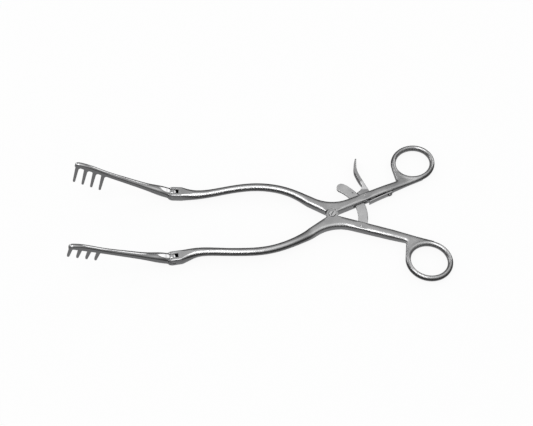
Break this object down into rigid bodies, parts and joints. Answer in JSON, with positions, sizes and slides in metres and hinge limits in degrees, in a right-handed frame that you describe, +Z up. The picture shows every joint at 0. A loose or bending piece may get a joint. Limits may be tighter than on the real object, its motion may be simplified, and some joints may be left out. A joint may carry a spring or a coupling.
{
  "type": "self retaining retractor",
  "caption": "Scissor-like hand retractor with finger rings, a curved ratchet bar with a thumb release lever, and hinged rake blades at the ends of bowed shanks.",
  "frame": {"origin": "on the axis of the joint screw, in the plane on which the arms lie", "axes": "+X towards the finger rings along the middle of the instrument, +Z up out of the plane of the arms, +Y towards the arm with the release lever"},
  "size_m": [0.3028, 0.132, 0.0458],
  "materials": {
    "arm_steel": "satin on the flats, polished on the shanks and rings",
    "blade_steel": "polished",
    "ratchet_steel": "satin",
    "lever_steel": "satin",
    "spring_steel": "satin",
    "screw_steel": "satin"
  },
  "bodies": {
    "lower_arm": {"lower_arm": "arm_steel", "ratchet_bar_pin": "screw_steel", "lower_hinge_screw": "screw_steel"},
    "upper_arm": {"upper_arm": "arm_steel", "joint_screw": "screw_steel", "lever_pin": "screw_steel", "spring_screw": "screw_steel", "upper_hinge_screw": "screw_steel"},
    "ratchet_bar": {"ratchet_bar": "ratchet_steel"},
    "release_lever": {"release_lever": "lever_steel"},
    "leaf_spring": {"leaf_spring": "spring_steel"},
    "upper_blade": {"upper_blade": "blade_steel"},
    "lower_blade": {"lower_blade": "blade_steel"}
  },
  "joints": [
    {"name": "main_joint", "type": "hinge", "parent": "lower_arm", "child": "upper_arm", "pos_m": [0, 0, 0.0036], "axis": [0, 0, -1], "range_deg": [-18.5, 34]},
    {"name": "ratchet_swing", "type": "hinge", "parent": "lower_arm", "child": "ratchet_bar", "pos_m": [0.02259, -0.01363, 0.0036], "axis": [0, 0, -1], "range_deg": [-2.6, 4.6]},
    {"name": "lever_press", "type": "hinge", "parent": "upper_arm", "child": "release_lever", "pos_m": [0.02847, 0.01582, 0.0036], "axis": [0, 0, -1], "range_deg": [0, 12], "stiffness_Nm_per_rad": 0.1, "springref_deg": -17.19},
    {"name": "spring_flex", "type": "hinge", "parent": "upper_arm", "child": "leaf_spring", "pos_m": [0.05169, 0.01938, 0.0036], "axis": [0, 0, 1], "range_deg": [0, 1.6]},
    {"name": "upper_blade_hinge", "type": "hinge", "parent": "upper_arm", "child": "upper_blade", "pos_m": [-0.1317, 0.0315, 0.0041], "axis": [0.1011, 0.9949, 0], "range_deg": [-74, 36]},
    {"name": "lower_blade_hinge", "type": "hinge", "parent": "lower_arm", "child": "lower_blade", "pos_m": [-0.1317, -0.0315, 0.0041], "axis": [-0.1011, 0.9949, 0], "range_deg": [-74, 36]}
  ],
  "couplings": [
    {"joint": "ratchet_swing", "follows": "main_joint", "ratio": 0.1274},
    {"joint": "spring_flex", "follows": "lever_press", "ratio": 0.11}
  ]
}
